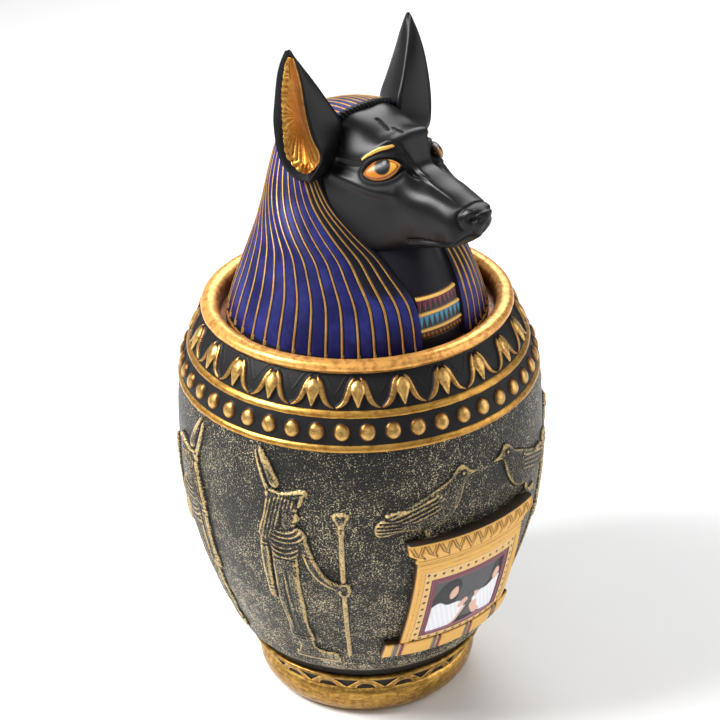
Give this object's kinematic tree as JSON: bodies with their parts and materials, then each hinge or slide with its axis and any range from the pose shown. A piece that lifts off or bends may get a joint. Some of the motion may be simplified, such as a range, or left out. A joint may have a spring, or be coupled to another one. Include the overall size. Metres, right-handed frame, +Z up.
{
  "type": "canopic jar",
  "caption": "Decorative resin canopic jar with a foot, ornament bands, relief figures and a shrine, closed by a jackal-head lid in a striped headdress.",
  "frame": {"origin": "centre of the flat underside of the foot", "axes": "+Z up through the lid, -Y towards the shrine on the front of the jar, +X to the right as seen from the front"},
  "size_m": [0.1328, 0.1336, 0.2464],
  "materials": {
    "jar_resin": "cold-cast resin painted black-bronze, relief brushed with gold, painted gold rim, bands and foot",
    "lid_resin": "cold-cast resin painted satin black, headdress blue with gold lines, gold ears and eyes"
  },
  "bodies": {
    "root": {"jar": "jar_resin", "lid": "lid_resin"}
  },
  "joints": []
}
